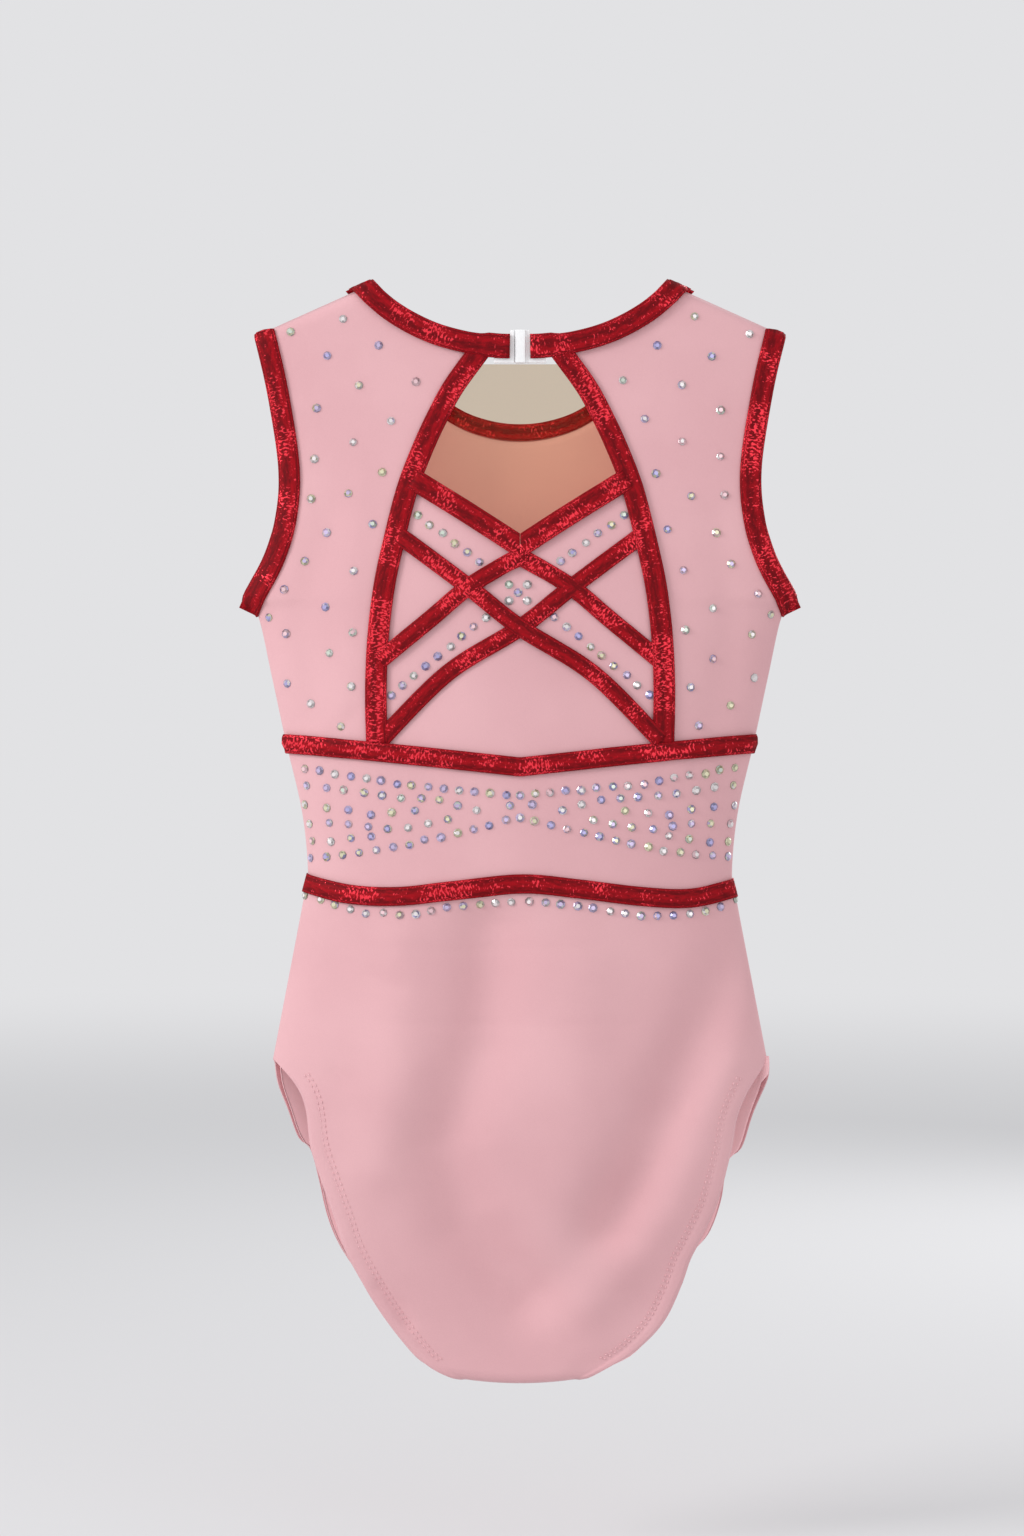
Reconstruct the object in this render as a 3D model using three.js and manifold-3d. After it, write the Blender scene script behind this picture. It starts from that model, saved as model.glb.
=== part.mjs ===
// A child's gymnastics leotard, as it hangs empty from its shoulders. Millimetres, +Z up.
// The wearer's back faces -Y. The origin is on the centre line at the top of the shoulders.
import * as THREE from 'three';
import { mergeVertices } from 'three/addons/utils/BufferGeometryUtils.js';
import Module from 'manifold-3d';

const wasm = await Module();
wasm.setup();

// Driving dimensions
const gap = 0.3; // clearance between neighbouring pieces
const cloth = 0.8; // thickness of the panels
const tape = 1.0; // thickness of bindings and trims
const hemLevel = -552; // lowest point, at the crotch
const neckDepth = 9; // half depth at the neck, round the hanger
const chestDepth = 28; // half depth of the torso
const neckEnd = -45; // the depth grows from this level
const fullChest = -190; // down to this one
const hipLevel = -390; // and shrinks from here to the crotch
const crotchDepth = 5; // half depth at the crotch
const edgeDepth = 0.5; // half depth at the side seams
const thinnest = 0.05; // least half thickness of a form
const overrun = 4; // how far a form runs past the top and the hem, before it is cut
const columns = 12; // facets across a formed sheet
const rows = 24; // facets down a formed sheet
const bindingWidth = 10.5; // neck, keyhole and armhole bindings
const strapWidth = 8.5; // straps of the lattice
const waistTrimWidth = 9.5;
const elasticWidth = 8; // inside the leg hems
const liningGap = 0.5; // room between a panel and what lines it
const claspWidth = 26;
const claspHeight = 16.5;
const claspTop = -25.5;
const plateDrop = 2.4; // how far below that the plates behind the binding ends stop
const tabEnd = 4.75; // half the gap between the square binding ends
const tabStart = 18; // where the loose end of the left binding begins
const upperTrimSide = -230.5; // middle of the upper waist trim at the side seams
const upperTrimDip = -12.5; // how far it drops to its point at the centre
const lowerTrimLevel = -303;
const shoulderAngle = { middle: 84, level: -6, slope: 0.447 }; // the shoulder line falls outwards
const shoulderStart = 60; // nearer the neck than this it is level
const lap = 1; // how far a panel's edge stops inside the edge of its binding
const beyond = 150; // further out than any piece
const above = 20; // higher than any piece
const below = -600; // lower than any piece

// Right-hand half of each outline, as (x, z)
const armhole = [[133, -27], [126, -55], [120, -94], [121.5, -120], [127.5, -140], [137.5, -159]];
const side = [[137.5, -159], [131, -166], [117, -230.5], [106, -294.5], [108, -306], [117, -350], [124, -389.5]];
const leg = [[124, -389.5], [111, -434.5], [100, -459.5], [86, -489.5], [77, -509.5], [60, -532],
  [40, -551]];
const backNeck = [[80, -3], [62, -17], [42, -27], [26, -32], [tabEnd, -33.5]];
const frontNeck = [[82, -2], [75, -17], [68, -31], [58, -45.5], [47, -57.5], [36, -66], [25, -71.5], [12, -75],
  [0, -76]]; // middle of the binding
const keyhole = [[21, -38], [33, -53], [41.5, -70], [49.5, -88], [56, -106], [62, -130], [67, -154],
  [70, -180], [71, -250]];
const vTrim = [[0, -134.5], [25, -118], [56, -98]];
const longStrap = [[-62, -127], [-26, -153.5], [0, -174.5], [36, -197], [72, -233]];
const shortStrap = [[-4, -136], [24, -153.5], [44.5, -170.5], [72, -194]];
const bodiceLining = [[96, -28], [100, -110], [108, -165], [94, -215]];
const gussetLining = [[40, -430], [24, -538]];

// Smooth curve through points of an outline
function curve(points, count = 16) {
  return new THREE.SplineCurve(points.map(([x, z]) => new THREE.Vector2(x, z))).getPoints(count);
}

// Height and width along an outline given as (x, z) points, read at a height
function widthAt(points, z) {
  for (let i = 1; i < points.length; i += 1) {
    const [x0, z0] = points[i - 1];
    const [x1, z1] = points[i];
    if (z >= z1) return THREE.MathUtils.mapLinear(Math.min(z, z0), z0, z1, x0, x1);
  }
  return points.at(-1)[0];
}

// Half depth of the hanging garment at a place on its front or back
function depthAt(x, z) {
  const opening = THREE.MathUtils.smoothstep(z, fullChest, neckEnd);
  const closing = THREE.MathUtils.smoothstep(z, hemLevel, hipLevel);
  const middle = THREE.MathUtils.lerp(chestDepth, neckDepth, opening);
  const most = THREE.MathUtils.lerp(crotchDepth, middle, closing);
  const across = Math.min(1, Math.abs(x) / widthAt(side, z));
  return edgeDepth + (most - edgeDepth) * (1 - across ** 2) ** 0.6;
}

function shoulderAt(x) {
  return shoulderAngle.level - shoulderAngle.slope * (Math.abs(x) - shoulderAngle.middle);
}

// A closed three.js geometry as a solid
function solid(geometry) {
  const bare = geometry.index ? geometry.toNonIndexed() : geometry.clone();
  bare.deleteAttribute('normal');
  bare.deleteAttribute('uv');
  const merged = mergeVertices(bare, 1e-4);
  return new wasm.Manifold(new wasm.Mesh({
    numProp: 3,
    vertProperties: new Float32Array(merged.attributes.position.array),
    triVerts: new Uint32Array(merged.index.array),
  }));
}

// An outline in X and Z, carried right through the garment along Y
function prism(points, reach = 60) {
  const shape = new THREE.Shape(points.map((p) => new THREE.Vector2(p.x ?? p[0], p.y ?? p[1])));
  const geometry = new THREE.ExtrudeGeometry(shape, { depth: 2 * reach, bevelEnabled: false });
  geometry.translate(0, 0, -reach);
  geometry.rotateX(Math.PI / 2);
  return solid(geometry);
}

// Splits the quads of a box's -Y side along the same diagonal as its +Y side, which keeps a sheet's
// thickness even
function matchDiagonals(geometry) {
  const { start, count } = geometry.groups[3];
  const index = geometry.index.array;
  for (let i = start; i < start + count; i += 6) {
    const [a, b, d, , c] = index.slice(i, i + 5);
    index.set([a, b, c, a, c, d], i);
  }
}

// A formed sheet between two offsets from the garment's surface. face is -1 for the back, 1 for the front
// and 0 for the whole thickness. margin carries it past the side seams.
function formed(face, inner, outer, margin = 0) {
  const geometry = new THREE.BoxGeometry(2, 2, 1, columns, 1, rows);
  matchDiagonals(geometry);
  const place = geometry.attributes.position;
  for (let i = 0; i < place.count; i += 1) {
    const z = THREE.MathUtils.lerp(overrun, hemLevel - overrun, 0.5 - place.getZ(i));
    const x = Math.sin((place.getX(i) * Math.PI) / 2) * (widthAt(side, z) + margin);
    const level = face === 0 || face * place.getY(i) > 0 ? outer : inner;
    const away = Math.max(thinnest, depthAt(x, z) + level);
    place.setXYZ(i, x, (face || Math.sign(place.getY(i))) * away, z);
  }
  return solid(geometry);
}

// A strip of even width along a curve, as an outline
function ribbon(points, width, count = 14) {
  const spine = curve(points, count);
  const left = [];
  const right = [];
  spine.forEach((p, i) => {
    const before = spine[Math.max(0, i - 1)];
    const after = spine[Math.min(spine.length - 1, i + 1)];
    const across = after.clone().sub(before).normalize().rotateAround(new THREE.Vector2(), Math.PI / 2);
    left.push(p.clone().addScaledVector(across, width / 2));
    right.unshift(p.clone().addScaledVector(across, -width / 2));
  });
  return [...left, ...right];
}

const mirror = (points) => points.map(([x, z]) => [-x, z]);
const handed = (points, hand) => (hand < 0 ? mirror(points) : points);
const strip = (points, width, hand = 1) => prism(ribbon(handed(points, hand), width));
const block = (x0, x1, z0, z1) => prism([[x0, z0], [x1, z0], [x1, z1], [x0, z1]]);

const sheetLayer = (face) => formed(face, 0, cloth);
const trimLayer = (face, level = 1) => {
  const inner = cloth + gap + (level - 1) * (tape + gap);
  return formed(face, inner, inner + tape);
};

const leotard = new THREE.Group();
function add(name, body, material) {
  const mesh = body.getMesh();
  const geometry = new THREE.BufferGeometry();
  geometry.setAttribute('position', new THREE.BufferAttribute(new Float32Array(mesh.vertProperties), 3));
  geometry.setIndex(new THREE.BufferAttribute(new Uint32Array(mesh.triVerts), 1));
  const piece = new THREE.Mesh(geometry, material.clone());
  piece.name = name;
  leotard.add(piece);
}

const pink = new THREE.MeshStandardMaterial({ color: 0xecbcc0, roughness: 0.85 });
const redFoil = new THREE.MeshStandardMaterial({ color: 0xa00a19, roughness: 0.4, metalness: 0.5 });
const nudeMesh = new THREE.MeshStandardMaterial({ color: 0xcebfac, roughness: 0.8 });
const lining = new THREE.MeshStandardMaterial({ color: 0xd39683, roughness: 0.9 });
const elastic = new THREE.MeshStandardMaterial({ color: 0xf0e6e2, roughness: 0.9 });
const whitePlastic = new THREE.MeshStandardMaterial({ color: 0xf2f2f0, roughness: 0.35 });

// Levels of the waist trims
const trimHalf = waistTrimWidth / 2;
const upperRight = [[60, upperTrimSide + upperTrimDip * 0.4], [130, upperTrimSide]];
const upperTrim = [...mirror(upperRight).reverse(), [0, upperTrimSide + upperTrimDip], ...upperRight];
const lowerRight = [[75, lowerTrimLevel - 4], [120, lowerTrimLevel + 2]];
const lowerTrim = [...mirror(lowerRight).reverse(), [0, lowerTrimLevel + 2], ...lowerRight];
const bandBetween = (top, bottom) => prism([...curve(top, 20), ...curve(bottom, 20).reverse()]);
const shifted = (points, dz) => points.map(([x, z]) => [x, z + dz]);

// Everything under the shoulder line, raised or lowered
function underShoulder(rise) {
  const right = [shoulderStart, beyond].map((x) => [x, shoulderAt(x) + rise]);
  return prism([...mirror(right).reverse(), ...right, [beyond, below], [-beyond, below]]);
}

// Region above the upper trim, with both armholes
const armholeRight = curve(armhole, 14).map((p) => [p.x, p.y]);
const armholeTop = [armhole[0][0], above];
const underArm = armhole.at(-1)[1] - 1;
const bodiceRight = [armholeTop, ...armholeRight, [beyond, underArm], [beyond, upperTrimSide]];
const bodiceBottom = curve(upperTrim, 20).reverse().slice(1, -1).map((p) => [p.x, p.y]);
const bodiceRegion = prism([...bodiceRight, ...bodiceBottom, ...mirror(bodiceRight).reverse()]);
const shoulderBand = 1; // fold of the front panel over each shoulder
const frontNeckLine = [...frontNeck, ...mirror(frontNeck).reverse().slice(1)];
const frontNeckBand = (width) => prism(ribbon(frontNeckLine, width, 40));
const neckTop = frontNeck[0][0];
const insideNeck = prism([...curve(frontNeckLine, 40), [-neckTop, above], [neckTop, above]]);
const neckHole = insideNeck.subtract(frontNeckBand(bindingWidth - 2 * lap));
const waistRegion = bandBetween(shifted(upperTrim, -gap), lowerTrim);
const legRight = curve(leg, 14).map((p) => [p.x, p.y]);
const briefTop = curve(shifted(lowerTrim, -gap), 20).map((p) => [p.x, p.y]);
const briefRight = [[beyond, leg[0][1]], ...legRight];
const briefRegion = prism([...briefTop, ...briefRight, ...mirror(briefRight).reverse()]);
const keyholeOutline = (inset) => {
  const right = curve(keyhole, 16).map((p) => [p.x - inset, p.y]);
  return [[right[0][0], above], ...right, ...mirror(right).reverse(), [-right[0][0], above]];
};

// Back
const backSheet = sheetLayer(-1);
const backNeckEdge = curve(backNeck, 14).map((p) => [p.x, p.y + bindingWidth / 2 - lap]);
const overBackNeck = [[backNeck[0][0], above], ...backNeckEdge];
const backNeckCut = prism([...overBackNeck, [0, claspTop], ...mirror(overBackNeck).reverse()]);
const backPanels = backSheet.intersect(bodiceRegion).intersect(underShoulder(-shoulderBand - gap))
  .subtract(prism(keyholeOutline(0))).subtract(backNeckCut);
add('back_panel_left', backPanels.intersect(block(-beyond, 0, below, above)), pink);
add('back_panel_right', backPanels.intersect(block(0, beyond, below, above)), pink);
const insideKeyhole = backSheet.intersect(prism(keyholeOutline(gap))).intersect(bodiceRegion);
const vLine = [...mirror(vTrim).reverse().slice(0, -1), ...vTrim];
const vEnd = vTrim.at(-1)[1];
const aboveV = (dz) => prism([...shifted([[-beyond, vEnd], ...vLine, [beyond, vEnd]], dz),
  [beyond, above], [-beyond, above]]);
add('back_centre_panel', insideKeyhole.subtract(aboveV(0)), pink);
const claspBottom = claspTop - claspHeight;
const claspRoom = block(-beyond, beyond, claspBottom - gap, above);
add('keyhole_mesh', insideKeyhole.intersect(aboveV(gap)).subtract(claspRoom), nudeMesh);
add('waist_panel_back', backSheet.intersect(waistRegion), pink);
const crotchFold = hemLevel + 2; // the front panel folds under the crotch up to this level
const seat = backSheet.intersect(briefRegion);
add('seat_panel', seat.subtract(block(-beyond, beyond, below, crotchFold + gap)), pink);

// Front
const frontSheet = sheetLayer(1);
const wholeThickness = formed(0, 0, cloth);
const shoulderFold = wholeThickness.intersect(underShoulder(0)).subtract(underShoulder(-shoulderBand));
const bodice = frontSheet.intersect(underShoulder(0)).add(shoulderFold).intersect(bodiceRegion);
add('front_bodice', bodice.subtract(neckHole), pink);
add('waist_panel_front', frontSheet.intersect(waistRegion), pink);
const fold = wholeThickness.intersect(briefRegion).intersect(block(-beyond, beyond, below, crotchFold));
add('front_brief', frontSheet.intersect(briefRegion).add(fold), pink);
const liningLayer = formed(1, -liningGap - cloth, -liningGap);
const bothSides = (points) => prism([...points, ...mirror(points).reverse()]);
add('front_lining', liningLayer.intersect(bothSides(bodiceLining)).subtract(neckHole), lining);
add('gusset_lining', liningLayer.intersect(bothSides(gussetLining)), lining);

// Waist trims
for (const [where, face] of [['back', -1], ['front', 1]]) {
  add(`waist_trim_upper_${where}`, trimLayer(face).intersect(strip(upperTrim, waistTrimWidth)), redFoil);
  add(`waist_trim_lower_${where}`, trimLayer(face).intersect(strip(lowerTrim, waistTrimWidth)), redFoil);
}

// Bindings and trims of the back
const firstLevel = trimLayer(-1, 1);
const secondLevel = trimLayer(-1, 2);
const neckStrips = [strip(backNeck, bindingWidth + 2 * gap), strip(backNeck, bindingWidth + 2 * gap, -1)];
const belowNeck = neckStrips[0].add(neckStrips[1]);
const waistCut = bandBetween(shifted(upperTrim, trimHalf + gap), lowerTrim);
const keyholeCut = strip(keyhole, bindingWidth + 2 * gap).add(strip(keyhole, bindingWidth + 2 * gap, -1));
for (const [name, hand] of [['left', -1], ['right', 1]]) {
  const half = hand < 0 ? block(-beyond, -gap / 2, below, above) : block(gap / 2, beyond, below, above);
  add(`keyhole_binding_${name}`, firstLevel.intersect(strip(keyhole, bindingWidth, hand)).subtract(waistCut)
    .subtract(belowNeck).intersect(half), redFoil);
  add(`v_trim_${name}`, firstLevel.intersect(strip(vLine, bindingWidth)).intersect(half)
    .subtract(keyholeCut).intersect(prism(keyholeOutline(0))), redFoil);
}
const strapRoom = prism(keyholeOutline(bindingWidth / 2 + gap)).subtract(waistCut).subtract(keyholeCut)
  .subtract(strip(vLine, bindingWidth + 2 * gap));
add('lattice_strap_1', firstLevel.intersect(strip(longStrap, strapWidth)).intersect(strapRoom), redFoil);
add('lattice_strap_2', secondLevel.intersect(strip(longStrap, strapWidth, -1)).intersect(strapRoom), redFoil);
add('lattice_strap_3', firstLevel.intersect(strip(shortStrap, strapWidth)).intersect(strapRoom)
  .subtract(strip(longStrap, strapWidth + 2 * gap)), redFoil);
add('lattice_strap_4', secondLevel.intersect(strip(shortStrap, strapWidth, -1)).intersect(strapRoom)
  .subtract(strip(longStrap, strapWidth + 2 * gap, -1)), redFoil);

// Neck bindings. The end of the left one is loose, and moves with its half of the clasp.
const neckLeft = firstLevel.intersect(strip(backNeck, bindingWidth, -1)).intersect(underShoulder(0));
add('neck_binding_left', neckLeft.intersect(block(-beyond, -tabStart - gap / 2, below, above)), redFoil);
add('neck_binding_left_end', neckLeft.intersect(block(-tabStart + gap / 2, 0, below, above)), redFoil);
const neckRight = firstLevel.intersect(strip(backNeck, bindingWidth)).intersect(underShoulder(0));
add('neck_binding_right', neckRight, redFoil);
const neckFront = trimLayer(1).intersect(frontNeckBand(bindingWidth)).intersect(underShoulder(0));
add('front_neck_binding', neckFront, redFoil);

// Armhole bindings run over the shoulder and under the arm, outside both panels
const armFold = 2.5; // how far the binding stands out past the side seam
const outerForm = formed(0, 0, cloth + gap + tape, armFold);
const innerForm = formed(0, 0, cloth + gap, gap).intersect(underShoulder(gap));
const armBinding = armhole.map(([x, z]) => [x - bindingWidth / 2, z]);
armBinding[0] = [129, -20];
armBinding.push([142, -171]);
for (const [name, hand] of [['left', -1], ['right', 1]]) {
  add(`armhole_binding_${name}`, outerForm.intersect(strip(armBinding, bindingWidth, hand))
    .intersect(underShoulder(gap + tape)).subtract(innerForm), redFoil);
}

// Elastics inside the leg hems
const elasticEnd = { x: 30, z: hemLevel + 7 }; // each stops here, near the crotch
const elasticWall = 4; // thickness where it bends round at its ends
const elasticOuter = formed(0, 0, -liningGap);
const elasticInner = formed(0, 0, -liningGap - tape, -elasticWall)
  .intersect(block(-beyond, beyond, elasticEnd.z + elasticWall, above));
const legLine = leg.map(([x, z]) => [x - elasticWidth * 0.8, z + 2]);
for (const [name, hand] of [['left', -1], ['right', 1]]) {
  const [near, far] = [hand * elasticEnd.x, hand * beyond];
  const half = block(Math.min(near, far), Math.max(near, far), elasticEnd.z, above);
  add(`leg_elastic_${name}`, elasticOuter.intersect(strip(legLine, elasticWidth, hand)).intersect(half)
    .subtract(elasticInner), elastic);
}

// Clasp: a T-shaped tongue on the left half slides up out of a channel on the right half
const claspPlane = -depthAt(0, claspTop) + 0.2;
const plate = 1; // half thickness of each plate
const stem = { start: -2.8, half: 0.4 }; // the thin part of the T
const head = { start: -0.6, end: 1.2, half: 1 };
const slot = { start: -2.4, half: 0.75 }; // the mouth round the stem
const room = { start: -1, end: 1.6, half: 1.35 }; // where the head slides
const shell = { end: 2.6, half: 2.1 }; // the outside of the channel
const tongue = [[-claspWidth / 2, plate], [stem.start, plate], [stem.start, stem.half],
  [head.start, stem.half], [head.start, head.half], [head.end, head.half]];
const channel = [[claspWidth / 2, plate], [shell.end, plate], [shell.end, shell.half],
  [slot.start, shell.half], [slot.start, slot.half], [room.start, slot.half], [room.start, room.half],
  [room.end, room.half]];
for (const [name, upper, hand] of [['clasp_left', tongue, -1], ['clasp_right', channel, 1]]) {
  const section = [...upper, ...upper.map(([x, y]) => [x, -y]).reverse()];
  const plateEnds = [hand * tabEnd, hand * claspWidth].sort((a, b) => a - b);
  const shape = new THREE.Shape(section.map(([x, y]) => new THREE.Vector2(x, y)));
  const geometry = new THREE.ExtrudeGeometry(shape, { depth: claspHeight, bevelEnabled: false });
  geometry.translate(0, claspPlane, claspBottom);
  add(name, solid(geometry).subtract(block(...plateEnds, claspTop - plateDrop, 0)), whitePlastic);
}

export default leotard;
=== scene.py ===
import bisect
import math
import random

import bmesh
import bpy
from mathutils import Matrix, Vector, noise


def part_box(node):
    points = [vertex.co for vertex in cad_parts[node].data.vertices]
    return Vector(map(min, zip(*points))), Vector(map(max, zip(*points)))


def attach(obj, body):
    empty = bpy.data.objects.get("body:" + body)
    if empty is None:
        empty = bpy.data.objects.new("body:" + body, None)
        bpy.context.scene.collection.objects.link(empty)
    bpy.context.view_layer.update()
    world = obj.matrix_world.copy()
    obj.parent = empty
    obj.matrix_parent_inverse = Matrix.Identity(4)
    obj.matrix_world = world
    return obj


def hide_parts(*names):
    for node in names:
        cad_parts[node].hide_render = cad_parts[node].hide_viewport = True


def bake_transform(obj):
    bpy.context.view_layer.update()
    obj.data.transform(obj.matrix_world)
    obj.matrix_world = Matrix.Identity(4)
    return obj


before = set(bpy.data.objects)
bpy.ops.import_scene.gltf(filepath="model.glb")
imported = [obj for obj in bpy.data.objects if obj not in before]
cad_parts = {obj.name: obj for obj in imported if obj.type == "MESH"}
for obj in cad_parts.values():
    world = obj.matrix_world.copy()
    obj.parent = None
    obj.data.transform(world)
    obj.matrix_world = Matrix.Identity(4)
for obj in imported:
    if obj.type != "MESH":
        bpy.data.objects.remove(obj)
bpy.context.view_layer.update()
mm = 0.001
random.seed(12)

# The garment's form, in millimetres. The back is on the -Y side, and x is half of a symmetrical outline.
form = dict(
    neckDepth=9, chestDepth=27.5, crotchDepth=5, seamDepth=0.35,
    neckEnd=45, fullChest=190, hips=390,  # how far down the depth grows, and where it shrinks again
    shoulderMiddle=84, shoulderLevel=-6, shoulderSlope=0.447, shoulderRound=7,
    hem=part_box("front_brief")[0].z / mm, hemHalf=36, hemRise=3.4, crotchRound=6, steepest=2.5,
    armhole=[(133, -28), (126, -55), (120, -94), (121.5, -120), (127.5, -140), (137.5, -160)],
    side=[(137.5, -160), (131, -167), (124, -198), (117, -230.5), (109, -265), (106, -294.5), (108, -308),
          (116, -350), (123.5, -389)],
)


def catmull(points, steps=10):  # smooth path through given points
    ends = [points[0]] + list(points) + [points[-1]]
    path = []
    for i in range(1, len(ends) - 2):
        a, b, c, d = (Vector(p) for p in ends[i - 1:i + 3])
        for k in range(steps):
            t = k / steps
            path.append(0.5 * (2 * b + (c - a) * t + (2 * a - 5 * b + 4 * c - d) * t ** 2
                               + (3 * b - a - 3 * c + d) * t ** 3))
    return path + [Vector(points[-1])]


def mirror(points):
    return [(-x, z) for x, z in points]


def pairs(points):
    return [(p.x, p.y) for p in points]


class Path:  # a path in the garment's front view, read by the share of its length
    def __init__(self, points):
        self.points = [Vector(p) for p in points]
        self.far = [0.0]
        for a, b in zip(self.points, self.points[1:]):
            self.far.append(self.far[-1] + (b - a).length)
        self.length = self.far[-1]

    def at(self, share):
        want = min(max(share, 0), 1) * self.length
        i = min(max(bisect.bisect_right(self.far, want), 1), len(self.far) - 1)
        span = self.far[i] - self.far[i - 1] or 1
        return self.points[i - 1].lerp(self.points[i], (want - self.far[i - 1]) / span)


sidePath = catmull(form["side"])
sideHeights = [-p.y for p in sidePath]


def widthAt(z):
    i = bisect.bisect_right(sideHeights, -z)
    if i == 0:
        return sidePath[0].x
    if i == len(sidePath):
        return sidePath[-1].x
    a, b = sidePath[i - 1], sidePath[i]
    return a.x + (b.x - a.x) * (-z - sideHeights[i - 1]) / (sideHeights[i] - sideHeights[i - 1])


def smoothStep(value, low, high):
    t = min(max((value - low) / (high - low), 0), 1)
    return t * t * (3 - 2 * t)


def shoulderAt(x):
    return form["shoulderLevel"] - form["shoulderSlope"] * (abs(x) - form["shoulderMiddle"])


def hemAt(x):  # the crotch edge, a shallow bow
    return form["hem"] + form["hemRise"] * (x / form["hemHalf"]) ** 2


# Soft folds of the hanging cloth: a line, how wide the fold is and how deep. A negative depth is a valley.
folds = {
    -1: [
        dict(line=[(-14, -325), (-18, -380), (-36, -430), (-26, -470), (4, -505)], wide=18, deep=-8.5),
        dict(line=[(-62, -330), (-62, -390), (-72, -440)], wide=15, deep=4),
        dict(line=[(104, -345), (80, -395), (62, -440), (46, -470)], wide=15, deep=-9),
        dict(line=[(114, -376), (98, -412), (74, -462), (34, -508)], wide=15, deep=5),
        dict(line=[(98, -386), (80, -415)], wide=6, deep=-1.2),
        dict(line=[(30, -345), (26, -430), (14, -480)], wide=20, deep=3.0),
        dict(line=[(-90, -332), (-30, -333.5), (40, -331)], wide=1.8, deep=-0.35),
        dict(line=[(-70, -369), (0, -371), (60, -369)], wide=1.8, deep=-0.35),
        dict(line=[(-106, -318), (-92, -338), (-60, -352)], wide=4, deep=-0.9),
        dict(line=[(-92, -394), (-88, -398)], wide=5, deep=-1.4),
        dict(line=[(-70, -503), (-60, -512), (-56, -520)], wide=4, deep=-1.6),
        dict(line=[(60, -533), (30, -545)], wide=6, deep=-1.2),
        dict(line=[(-96, -120), (-108, -165), (-104, -215)], wide=10, deep=-2.8),
        dict(line=[(-80, -90), (-84, -170), (-88, -225)], wide=8, deep=1.0),
        dict(line=[(98, -120), (106, -170), (100, -215)], wide=10, deep=-2.2),
        dict(line=[(-84, -218), (-94, -228)], wide=4, deep=-1.0),
        dict(line=[(64, -54), (72, -80)], wide=6, deep=-0.8),
        dict(line=[(-40, -45), (-62, -60), (-70, -88)], wide=7, deep=-0.7),
        dict(line=[(0, -146), (6, -150), (13, -162)], wide=2.2, deep=-0.7),
        dict(line=[(0, -150), (-3, -158)], wide=1.8, deep=-0.5),
        dict(line=[(-30, -185), (-50, -215)], wide=11, deep=-1.1),
        dict(line=[(20, -190), (44, -226)], wide=12, deep=-0.9),
        dict(line=[(-60, -250), (-20, -280)], wide=12, deep=-1.0),
        dict(line=[(70, -252), (84, -262), (90, -282)], wide=7, deep=-1.0),
        dict(line=[(76, -242), (92, -252)], wide=4, deep=0.8),
        dict(line=[(-100, -296), (-84, -312), (-78, -340)], wide=7, deep=1.1),
    ],
    1: [
        dict(line=[(-40, -110), (-52, -210)], wide=16, deep=1.8),
        dict(line=[(44, -110), (50, -215)], wide=16, deep=1.6),
        dict(line=[(0, -95), (0, -180)], wide=18, deep=-1.8),
        dict(line=[(-95, -340), (-60, -430), (-22, -505)], wide=15, deep=-2.8),
        dict(line=[(96, -345), (64, -430), (26, -500)], wide=15, deep=-2.6),
        dict(line=[(0, -330), (-4, -470)], wide=20, deep=1.8),
        dict(line=[(-70, -250), (-20, -285)], wide=12, deep=-0.9),
        dict(line=[(75, -250), (30, -290)], wide=12, deep=-0.9),
    ],
}
for face in folds:
    for fold in folds[face]:
        fold["path"] = [Vector(p) for p in fold["line"]]
        reach = 2.6 * fold["wide"]
        fold["low"] = min(p.y for p in fold["path"]) - reach
        fold["high"] = max(p.y for p in fold["path"]) + reach


def foldAt(x, z, face):
    total = 0
    for fold in folds[face]:
        if not fold["low"] < z < fold["high"]:
            continue
        near = 1e9
        for a, b in zip(fold["path"], fold["path"][1:]):
            along = b - a
            t = min(max(((x - a.x) * along.x + (z - a.y) * along.y) / along.length_squared, 0), 1)
            near = min(near, (x - a.x - along.x * t) ** 2 + (z - a.y - along.y * t) ** 2)
        total += fold["deep"] * math.exp(-near / fold["wide"] ** 2)
    return total


def depthAt(x, z, face):  # how far the cloth stands from the middle plane
    opening = smoothStep(-z, form["neckEnd"], form["fullChest"])
    closing = smoothStep(-z, form["hips"], -form["hem"])
    most = form["neckDepth"] + (form["chestDepth"] - form["neckDepth"]) * opening
    most += (form["crotchDepth"] - most) * closing
    across = min(1, abs(x) / widthAt(z))
    depth = (most + foldAt(x, z, face) * opening) * (1 - across ** 2) ** 0.6
    overShoulder = min(1, max(0, (shoulderAt(x) - z) / form["shoulderRound"]))
    overCrotch = min(1, max(0, (z - hemAt(x)) / form["crotchRound"]))
    rounded = math.sqrt(1 - (1 - overShoulder) ** 2) * math.sqrt(1 - (1 - overCrotch) ** 2)
    return form["seamDepth"] + depth * rounded


def place(x, z, face, lift=0.0):  # the point on the cloth and its outward direction, in metres
    step = 0.6
    depth = depthAt(x, z, face)
    slopeX = (depthAt(x + step, z, face) - depthAt(x - step, z, face)) / (2 * step)
    slopeZ = (depthAt(x, z + step, face) - depthAt(x, z - step, face)) / (2 * step)
    slopeX, slopeZ = (max(-form["steepest"], min(form["steepest"], slope)) for slope in (slopeX, slopeZ))
    out = Vector((-slopeX, 1, -slopeZ)).normalized()
    point = Vector((x, depth, z)) + out * lift
    return Vector((point.x, point.y * face, point.z)) * mm, Vector((out.x, out.y * face, out.z))


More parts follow.
